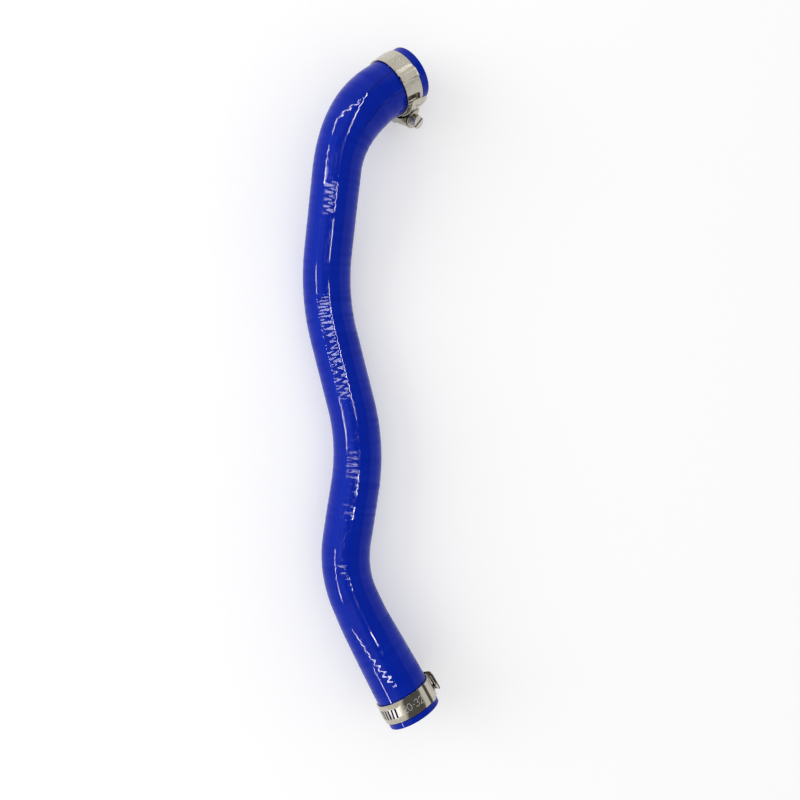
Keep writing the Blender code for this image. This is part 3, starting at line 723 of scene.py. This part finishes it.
band_steel = steel("bright_strip_steel", WARM_STEEL, line_width=0.09, line_length=12.0, smooth=0.07,
                   dull=0.14, bump_height=0.000002, on_strip=True)
for end, matrix in CLAMPS.items():
    band = build_band(end + "_slotted_band", matrix)
    round_edges(band, BAND_EDGE)
    band.data.materials.append(band_steel)
    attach(band, "hose")
    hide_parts(end + "_clamp_band")
    clamp_pieces[end].append(band)


# The size range of the clamp is marked lightly on each band as plain numbers. They are low beads of the
# band's steel, roughened by the stamp, so that they read pale.

NUMBER_HEIGHT = 0.0036
NUMBER_WIDTH = 0.0020
NUMBER_ADVANCE = 0.0026
DASH_ADVANCE = 0.0016
NUMBER_MIDDLE = math.radians(163.0)
STROKE_WIDTH = 0.00046
STROKE_RISE = 0.00005
STROKE_SPACING = 0.00012
STROKE_COLUMNS = 6


def oval(centre, size, first, last, count=16):
    """Points round part of an oval of the given half width and half height, from one angle in degrees
    to another."""
    angles = np.radians(np.linspace(first, last, count))
    return np.stack((centre[0] + size[0] * np.cos(angles), centre[1] + size[1] * np.sin(angles)), axis=1)


NUMBER_STROKES = {
    "2": (np.concatenate((oval((0.5, 0.72), (0.5, 0.28), 170.0, -30.0), ((0.0, 0.0), (1.0, 0.0)))),),
    "0": (oval((0.5, 0.5), (0.5, 0.5), 0.0, 360.0),),
    "-": (np.array(((0.1, 0.5), (0.55, 0.5))),),
    "3": (np.concatenate((oval((0.45, 0.74), (0.45, 0.26), 160.0, -80.0),
                          oval((0.45, 0.26), (0.55, 0.26), 80.0, -160.0))),),
}


def stroke_bead(path):
    """A low bead along a path, sunk to half its height. Its section, at right angles to the path, is the
    rise times (2 cos of pi times the share across - 1)."""
    steps = np.hypot(*np.diff(path, axis=0).T)
    run = np.concatenate(((0.0,), np.cumsum(steps)))
    at = np.linspace(0.0, run[-1], max(3, round(run[-1] / STROKE_SPACING)))
    line = np.stack((np.interp(at, run, path[:, 0]), np.interp(at, run, path[:, 1])), axis=1)
    heading = np.gradient(line, axis=0)
    heading /= np.hypot(*heading.T)[:, None]
    beside = np.stack((-heading[:, 1], heading[:, 0]), axis=1)
    share = np.linspace(-0.5, 0.5, STROKE_COLUMNS)
    flat = line[:, None] + beside[:, None] * share[None, :, None] * STROKE_WIDTH
    rise = np.broadcast_to(STROKE_RISE * (2.0 * np.cos(math.pi * share) - 1.0), flat.shape[:2])
    return flat, rise


def build_numbers(name, text, matrix):
    """Beads of all the strokes, laid on the band: the way they read, a length is angle times radius."""
    advances = [DASH_ADVANCE if mark == "-" else NUMBER_ADVANCE for mark in text]
    begin = -sum(advances) / 2
    points, quads, count = [], [], 0
    outside = CLAMP_BORE_RADIUS + BAND_THICKNESS
    for mark, advance in zip(text, advances):
        for stroke in NUMBER_STROKES[mark]:
            flat, rise = stroke_bead(stroke * (NUMBER_WIDTH, NUMBER_HEIGHT) + (begin, -NUMBER_HEIGHT / 2))
            placed = round_clamp(NUMBER_MIDDLE - flat[..., 0] / outside, outside + rise, -flat[..., 1])
            rows, columns = rise.shape
            points.append(placed.reshape(-1, 3))
            quads.append(grid_faces(rows, columns)[:(rows - 1) * columns, ::-1] + count)
            count += rows * columns
        begin += advance
    return add_piece(name, np.concatenate(points), np.concatenate(quads), matrix, 60.0)


NUMBER_STEEL = (0.820, 0.790, 0.730, 1.0)
number_steel = steel("stamped_number_steel", NUMBER_STEEL, line_width=0.2, line_length=0.2, smooth=0.55,
                     dull=0.65, bump_height=0.000002, on_strip=False)
for end, matrix in CLAMPS.items():
    numbers = build_numbers(end + "_size_numbers", "20-32", matrix)
    numbers.data.materials.append(number_steel)
    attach(numbers, "hose")
    clamp_pieces[end].append(numbers)


# Each housing is a cover pressed from stainless sheet: a dome over the worm, two legs pinched under
# the saddle, and ends turned in round the screw's necks.

TUNNEL_RADIUS = WORM_DIAMETER / 2 + CLEARANCE
NECK_DIAMETER = 0.0040
HOUSING_END_WALL = 0.0011
DOME_STEPS = 40
LIP_RISE = 0.00025
LIP_LENGTH = 0.0009
LIP_FULL = 0.6
COVER_MIDDLE = 0.6
COVER_STEPS = 9
SHOULDER_ROUND = 0.0004
RING_SIDES = 48
RING_INSET = 0.0001
COVER_EDGE = 0.00012


def housing_profile(lift):
    """Closed section of the cover, as (out, across) pairs: up the outside of one leg, over the dome,
    down the other, and back inside over the band and round the worm."""
    dome = TUNNEL_RADIUS + HOUSING_WALL + lift
    shoulder = BAND_LAP_RADIUS + CLEARANCE + HOUSING_WALL
    foot = CLAMP_BORE_RADIUS + SADDLE_THICKNESS + CLEARANCE
    half, inner_half = HOUSING_HALF_WIDTH, BAND_WIDTH / 2 + CLEARANCE
    roof = BAND_LAP_RADIUS + CLEARANCE
    centre = (SCREW_RADIUS_FROM_HOSE, 0.0)
    over = oval(centre, (dome, dome), -90.0, 90.0, DOME_STEPS)
    mouth = math.degrees(math.acos((roof - SCREW_RADIUS_FROM_HOSE) / TUNNEL_RADIUS))
    under = oval(centre, (TUNNEL_RADIUS, TUNNEL_RADIUS), mouth, -mouth, DOME_STEPS)
    legs = ((foot, -half), (shoulder - SHOULDER_ROUND, -half), (shoulder, -half + SHOULDER_ROUND))
    outside = np.concatenate((legs, over, np.array(legs)[::-1] * (1.0, -1.0)))
    inner_legs = ((foot, inner_half), (roof, inner_half))
    inside = np.concatenate((inner_legs, under, np.array(inner_legs)[::-1] * (1.0, -1.0)))
    return np.concatenate((outside, inside))


def build_cover(name, matrix):
    """The section carried along the screw, with a raised lip at both ends, and a ring in each end."""
    half = HOUSING_LENGTH / 2
    lip_places = LIP_LENGTH * np.array((LIP_FULL, 1.0))
    middle_places = np.linspace(-COVER_MIDDLE, COVER_MIDDLE, COVER_STEPS) * half
    stations = np.concatenate(((-half,), -half + lip_places, middle_places, half - lip_places[::-1], (half,)))
    plain = housing_profile(-LIP_RISE)
    raised = housing_profile(0.0)
    lip = eased(np.abs(stations), half - LIP_LENGTH, half - LIP_FULL * LIP_LENGTH)[:, None, None]
    section = plain + (raised - plain) * lip
    count = len(plain)
    last = (len(stations) - 1) * count
    places = np.broadcast_to(stations[:, None], section.shape[:2])
    points = np.stack((section[..., 0], places, section[..., 1]), axis=-1).reshape(-1, 3)
    faces = grid_faces(len(stations), count)[:last, ::-1].tolist()
    faces += [list(range(count))[::-1], list(range(last, last + count))]
    angles = np.linspace(0.0, math.tau, RING_SIDES, endpoint=False)
    neck = NECK_DIAMETER / 2 + CLEARANCE
    for low in (-half + RING_INSET, half - HOUSING_END_WALL):
        high = low + HOUSING_END_WALL - RING_INSET
        faces += (grid_faces(4, RING_SIDES) + len(points)).tolist()
        for radius, place in ((TUNNEL_RADIUS, low), (TUNNEL_RADIUS, high), (neck, high), (neck, low)):
            loop = (SCREW_RADIUS_FROM_HOSE + radius * np.cos(angles), np.full(RING_SIDES, place),
                    radius * np.sin(angles))
            points = np.concatenate((points, np.stack(loop, axis=1)))
    return add_piece(name, points, faces, matrix)


cover_steel = steel("pressed_sheet_steel", SATIN_STEEL, line_width=0.6, line_length=2.0, smooth=0.18,
                    dull=0.36, bump_height=0.000010, on_strip=False)
for end, matrix in CLAMPS.items():
    cover = build_cover(end + "_screw_housing", matrix)
    round_edges(cover, COVER_EDGE)
    cover.data.materials.append(cover_steel)
    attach(cover, "hose")
    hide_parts(end + "_clamp_housing")
    clamp_pieces[end].append(cover)


# Each screw is one steel forging with a rolled worm between two plain necks, a collar against the
# housing, and a hexagon head with a slot for a driver. It turns in the housing and pulls the band.

WORM_CORE_DIAMETER = 0.0044
THREAD_RUN_OUT = 0.0006
CREST_REACH = 0.34
CREST_SLOPE = 0.22
COLLAR_DIAMETER = 0.0070
COLLAR_LENGTH = 0.0008
HEX_ACROSS_FLATS = 0.0060
HEX_LENGTH = 0.0045
HEX_CHAMFER = 0.0005
HEX_TOP_RADIUS = HEX_ACROSS_FLATS / 2 * 1.02
TURNED_EDGE = 0.0002
COLLAR_FOOT = 0.0001
DRIVER_SLOT_WIDTH = 0.0011
DRIVER_SLOT_DEPTH = 0.0015
DRIVER_SLOT_TURN = math.radians(20.0)
SCREW_SIDES = 96
SCREW_ANGLES = np.arange(SCREW_SIDES) * math.tau / SCREW_SIDES
WORM_STEPS = 120
NECK_END = HOUSING_LENGTH / 2 + CLEARANCE
WORM_HALF = (HOUSING_LENGTH - 2 * HOUSING_END_WALL - 2 * CLEARANCE) / 2
COLLAR_END = NECK_END + COLLAR_LENGTH
HEAD_END = COLLAR_END + HEX_LENGTH
SCREW_STEEL = (0.600, 0.580, 0.530, 1.0)


def turned(profile):
    """Points of a turned shape from rows of (place along the axis, radius at each angle)."""
    places = np.array([place for place, _ in profile])
    radii = np.array([np.broadcast_to(radius, SCREW_SIDES) for _, radius in profile])
    return np.stack((radii * np.cos(SCREW_ANGLES), np.repeat(places[:, None], SCREW_SIDES, axis=1),
                     radii * np.sin(SCREW_ANGLES)), axis=-1)


def hexagon():
    """Radius of the head at each angle: half across flats over the cosine of the angle from a flat."""
    from_flat = (SCREW_ANGLES + math.pi / 6) % (math.pi / 3) - math.pi / 6
    return HEX_ACROSS_FLATS / 2 / np.cos(from_flat)


def worm_rows():
    """Rows of the thread: core radius plus the depth of a rounded crest that winds once a pitch."""
    stops = np.linspace(-WORM_HALF, WORM_HALF, WORM_STEPS)
    from_crest = np.abs((stops[:, None] / SLOT_PITCH + SCREW_ANGLES / math.tau) % 1.0 - 0.5)
    crest = smooth_step((CREST_REACH - from_crest) / CREST_SLOPE)
    run_out = np.clip((WORM_HALF - np.abs(stops)) / THREAD_RUN_OUT, 0.0, 1.0)[:, None]
    depth = (WORM_DIAMETER - WORM_CORE_DIAMETER) / 2
    return list(zip(stops, WORM_CORE_DIAMETER / 2 + depth * crest * run_out))


def build_screw(name, matrix):
    """Rings along the axis from the far neck to the head, whose slot is cut with a plain bar."""
    neck, collar, hexed = NECK_DIAMETER / 2, COLLAR_DIAMETER / 2, hexagon()
    hex_top = np.minimum(hexed, HEX_TOP_RADIUS)
    rows = [(-NECK_END, 0.0), (-NECK_END, neck - TURNED_EDGE), (-NECK_END + TURNED_EDGE, neck),
            (-WORM_HALF, neck), *worm_rows(), (WORM_HALF, neck), (NECK_END, neck),
            (NECK_END, collar - COLLAR_FOOT), (NECK_END + COLLAR_FOOT, collar),
            (COLLAR_END - TURNED_EDGE, collar), (COLLAR_END, collar - TURNED_EDGE), (COLLAR_END, hexed),
            (HEAD_END - HEX_CHAMFER, hexed), (HEAD_END - HEX_CHAMFER / 3, hex_top),
            (HEAD_END, hex_top - HEX_CHAMFER / 2), (HEAD_END, 0.0)]
    points = turned(rows)
    count = len(rows)
    quads = grid_faces(count, SCREW_SIDES)[:(count - 1) * SCREW_SIDES]
    on_axis = matrix @ Matrix.Translation((SCREW_RADIUS_FROM_HOSE, 0.0, 0.0))
    screw = add_piece(name, points, quads, on_axis)
    half, reach = DRIVER_SLOT_WIDTH / 2, COLLAR_DIAMETER
    corners = np.array([(x, y, z) for x in (-half, half) for y in (-1, 1) for z in (-reach, reach)])
    corners[:, 1] = HEAD_END + DRIVER_SLOT_DEPTH * corners[:, 1]
    sides = ((0, 1, 3, 2), (4, 6, 7, 5), (0, 4, 5, 1), (2, 3, 7, 6), (0, 2, 6, 4), (1, 5, 7, 3))
    bar = add_piece(name + "_bar", corners, sides, on_axis @ Matrix.Rotation(DRIVER_SLOT_TURN, 4, "Y"))
    finish_cut(screw, bar)
    return screw


def finish_cut(piece, cutter):
    """Merge the poles, subtract the cutter, keep the result as the piece's mesh and drop the cutter."""
    weld = piece.modifiers.new("merge_poles", "WELD")
    weld.merge_threshold = 0.000001
    boolean = piece.modifiers.new("cut", "BOOLEAN")
    boolean.operation = "DIFFERENCE"
    boolean.solver = "EXACT"
    boolean.object = cutter
    bpy.context.view_layer.update()
    cut = bpy.data.meshes.new_from_object(piece.evaluated_get(bpy.context.evaluated_depsgraph_get()))
    piece.modifiers.clear()
    piece.data = cut
    cut.shade_smooth()
    cut.set_sharp_from_angle(angle=math.radians(30.0))
    bpy.data.objects.remove(cutter)


screw_steel = steel("rolled_screw_steel", SCREW_STEEL, line_width=0.5, line_length=0.8, smooth=0.16,
                    dull=0.34, bump_height=0.000008, on_strip=False)
for end, matrix in CLAMPS.items():
    screw = build_screw(end + "_worm_screw", matrix)
    screw.data.materials.clear()
    screw.data.materials.append(screw_steel)
    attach(screw, end + "_screw")
    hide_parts(end + "_clamp_screw")
    clamp_pieces[end].append(screw)


# The studio: a pale floor, a soft light from the left, a soft surround, and thin light strips over
# the hose that only show as lines in its gloss. The camera looks straight down on the mould's plan.

CAMERA_HEIGHT = 0.450
VIEW_WIDTH = 0.4072
SENSOR_WIDTH = 36.0
FLOOR_SIZE = 6.0
FLOOR_COLOUR = (0.90, 0.90, 0.90, 1.0)
FLOOR_GLOW = 0.24
SURROUND_LIGHT = 0.72
SOFT_LIGHT_PLACE = (-1.15, 0.15, 0.72)
SOFT_LIGHT_SIZE = 1.1
SOFT_LIGHT_RADIANCE = 1.8
BRIGHT_SIDE = 0.88
DARK_CEILING = 0.12
CEILING_EDGES = {"X": ((-22.0, -6.0), (66.0, 56.0)), "Y": ((-75.0, -55.0), (52.0, 30.0))}
STRIP_RADIANCE = 75.0
BAR_RADIANCE = 34.0
LAMPS = {
    "left_strip": ((-0.52, -0.42), (-0.52, 0.42), 0.040, STRIP_RADIANCE),
    "near_left_strip": ((-0.52, -0.78), (-0.52, -0.575), 0.040, STRIP_RADIANCE),
    "right_strip": ((0.08, -0.16), (0.08, 0.46), 0.026, STRIP_RADIANCE),
    "far_bar": ((-0.52, 0.42), (0.08, 0.42), 0.026, STRIP_RADIANCE),
    "middle_bar": ((-0.45, 0.08), (0.07, 0.08), 0.055, BAR_RADIANCE),
    "near_bar": ((-0.46, -0.06), (0.06, -0.06), 0.030, BAR_RADIANCE),
    "nearest_bar": ((-0.32, -0.135), (0.13, -0.135), 0.030, BAR_RADIANCE),
    "slanted_bar": ((-0.56, -0.465), (0.10, -0.262), 0.011, STRIP_RADIANCE),
}
CLAMP_LAMPS = {
    "upper_panel": ("upper", (0.42, 0.36, 0.38), (0.01, 0.155, 0.01), 0.50, 0.50, 0.75, 0.0),
    "lower_stripe": ("lower", (-0.48, -0.70, CAMERA_HEIGHT), (0.0, -0.155, 0.01), 0.03, 1.0, 1.8, -47.0),
}


def white_view(tree):
    """1 for what the camera sees directly, in a polished surface or through a clear one."""
    rays = add_node(tree, "LightPath").outputs
    seen = calc(tree, "MAXIMUM", rays["Is Camera Ray"], rays["Is Glossy Ray"])
    return calc(tree, "MAXIMUM", seen, rays["Is Transmission Ray"])


def build_floor():
    """A flat pale square under the object, lifted to white where it is seen, so that shadows stay."""
    half = FLOOR_SIZE / 2
    corners = ((-half, -half, 0.0), (half, -half, 0.0), (half, half, 0.0), (-half, half, 0.0))
    floor = add_piece("studio_floor", corners, [(0, 1, 2, 3)], Matrix.Identity(4))
    material, tree, shader = new_material("studio_floor_paint", Base_Color=FLOOR_COLOUR, Roughness=0.9,
                                          Specular_IOR_Level=0.0, Emission_Color=(1.0, 1.0, 1.0, 1.0))
    feed(tree, shader, Emission_Strength=calc(tree, "MULTIPLY", white_view(tree), FLOOR_GLOW))
    floor.data.materials.append(material)


def add_lamp(name, place, aim, width, length, radiance, turn=0.0):
    """A rectangular lamp of even radiance, whose power is radiance times pi times its area."""
    light = bpy.data.lights.new(name, "AREA")
    light.shape = "RECTANGLE"
    light.size, light.size_y = width, length
    light.energy = radiance * math.pi * width * length
    lamp = bpy.data.objects.new(name, light)
    bpy.context.scene.collection.objects.link(lamp)
    away = (Vector(place) - Vector(aim)).normalized()
    long_way = Matrix.Rotation(turn, 3, "Z") @ Vector((0.0, 1.0, 0.0))
    across = long_way.cross(away).normalized()
    axes = Matrix((across, away.cross(across), away)).transposed().to_4x4()
    axes.translation = place
    lamp.matrix_world = LAY @ axes
    return lamp


def build_surround():
    """An even soft light, white to the camera. In gloss it is bright at the sides and dark overhead,
    where the angle to the side and the angle to the end are both small."""
    world = bpy.data.worlds.new("studio_surround")
    bpy.context.scene.world = world
    world.use_nodes = True
    tree = world.node_tree
    background = tree.nodes["Background"]
    rays = add_node(tree, "LightPath").outputs
    direction = add_node(tree, "SeparateXYZ", {0: add_node(tree, "TexCoord").outputs["Generated"]}).outputs
    dark = 1.0
    for axis, edges in CEILING_EDGES.items():
        angle = calc(tree, "ARCTAN2", direction[axis], direction["Z"])
        for low, high in edges:
            edge = ramp(tree, angle, math.radians(low), math.radians(high), easing="SMOOTHSTEP")
            dark = calc(tree, "MULTIPLY", dark, edge)
    ceiling = ramp(tree, dark, 0.0, 1.0, BRIGHT_SIDE, DARK_CEILING)
    glossy = add_node(tree, "Mix", {0: rays["Is Glossy Ray"], 2: SURROUND_LIGHT, 3: ceiling}).outputs[0]
    seen = add_node(tree, "Mix", {0: rays["Is Camera Ray"], 2: glossy, 3: 1.0}).outputs[0]
    tree.links.new(seen, background.inputs["Color"])


def light_only(lamp, name, pieces):
    """Let a lamp show only in the gloss of the given pieces."""
    lit = bpy.data.collections.new(name)
    for piece in pieces:
        lit.objects.link(piece)
    lamp.light_linking.receiver_collection = lit
    lamp.visible_diffuse = False
    lamp.visible_camera = False


def build_strips():
    """Narrow lamps level with the camera, which show only as lines in the skin of the hose."""
    for name, (start, end, width, radiance) in LAMPS.items():
        run = np.subtract(end, start)
        middle = np.add(start, end) / 2
        lamp = add_lamp(name, (*middle, CAMERA_HEIGHT), (0.0, middle[1], 0.0), width, float(np.hypot(*run)),
                        radiance, math.atan2(-run[0], run[1]))
        light_only(lamp, name + "_lit", [hose])


def build_clamp_lights():
    """A broad panel that brightens the upper clamp, and a thin strip for the stripe on the lower one."""
    for name, (end, place, aim, width, length, radiance, turn) in CLAMP_LAMPS.items():
        lamp = add_lamp(name, place, aim, width, length, radiance, math.radians(turn))
        light_only(lamp, name + "_lit", clamp_pieces[end])


def build_camera():
    """Square on to the mould's plan, above its middle, and wide enough for the photographed field."""
    data = bpy.data.cameras.new("plan_camera")
    data.sensor_width = SENSOR_WIDTH
    data.lens = SENSOR_WIDTH * CAMERA_HEIGHT / VIEW_WIDTH
    camera = bpy.data.objects.new("plan_camera", data)
    camera.matrix_world = LAY @ Matrix.Translation((0.0, 0.0, CAMERA_HEIGHT))
    bpy.context.scene.collection.objects.link(camera)
    bpy.context.scene.camera = camera


build_floor()
build_surround()
build_strips()
build_clamp_lights()
soft_light = add_lamp("soft_left_light", SOFT_LIGHT_PLACE, (0.0, 0.0, 0.0), SOFT_LIGHT_SIZE, SOFT_LIGHT_SIZE,
                      SOFT_LIGHT_RADIANCE)
soft_light.visible_camera = False
soft_light.visible_glossy = False
build_camera()
bpy.context.scene.view_settings.view_transform = "Standard"
